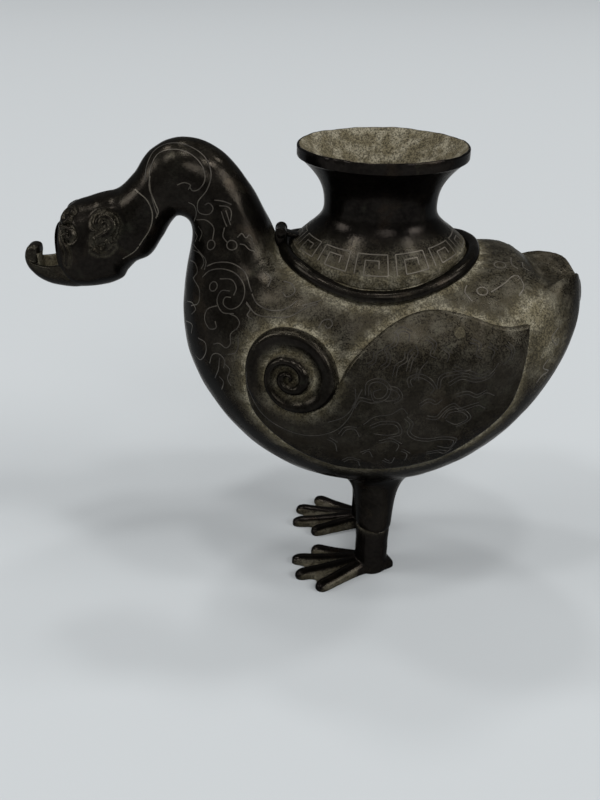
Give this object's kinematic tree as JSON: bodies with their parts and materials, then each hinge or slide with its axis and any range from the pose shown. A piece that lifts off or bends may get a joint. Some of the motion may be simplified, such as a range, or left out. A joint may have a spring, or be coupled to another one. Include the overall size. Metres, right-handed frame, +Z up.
{
  "type": "duck-shaped water dropper",
  "caption": "Hollow bronze duck on webbed feet with an arched neck, a trough spout for a bill and a hinged trumpet mouth on its back, for dripping water.",
  "frame": {"origin": "centre of the bounding box on the floor under the feet", "axes": "+Z up, the duck faces -X, its left side is -Y"},
  "size_m": [0.1756, 0.085, 0.1475],
  "materials": {
    "patinated_bronze": "dark brown patina, worn glossy on the high places, pale earth in the recesses",
    "silver_wire": "dull tarnished silver"
  },
  "bodies": {
    "duck": {"body_shell": "patinated_bronze", "neck": "patinated_bronze", "head": "patinated_bronze", "bill_spout": "patinated_bronze", "collar_ring": "patinated_bronze", "hinge_pin": "patinated_bronze", "core_plug": "patinated_bronze", "left_hinge_lug": "patinated_bronze", "left_leg": "patinated_bronze", "left_wing": "patinated_bronze", "right_hinge_lug": "patinated_bronze", "right_leg": "patinated_bronze", "right_wing": "patinated_bronze", "left_nape_band": "silver_wire", "left_neck_scroll": "silver_wire", "left_breast_scroll": "silver_wire", "left_wing_scroll": "silver_wire", "left_tail_scroll": "silver_wire", "right_nape_band": "silver_wire", "right_neck_scroll": "silver_wire", "right_breast_scroll": "silver_wire", "right_wing_scroll": "silver_wire", "right_tail_scroll": "silver_wire"},
    "mouth": {"mouth_trumpet": "patinated_bronze", "mouth_fret": "silver_wire", "hinge_leaf": "patinated_bronze"}
  },
  "joints": [
    {"name": "mouth_hinge", "type": "hinge", "parent": "duck", "child": "mouth", "pos_m": [-0.00751, 0, 0.11943], "axis": [0, -1, 0], "range_deg": [0, 40]}
  ]
}
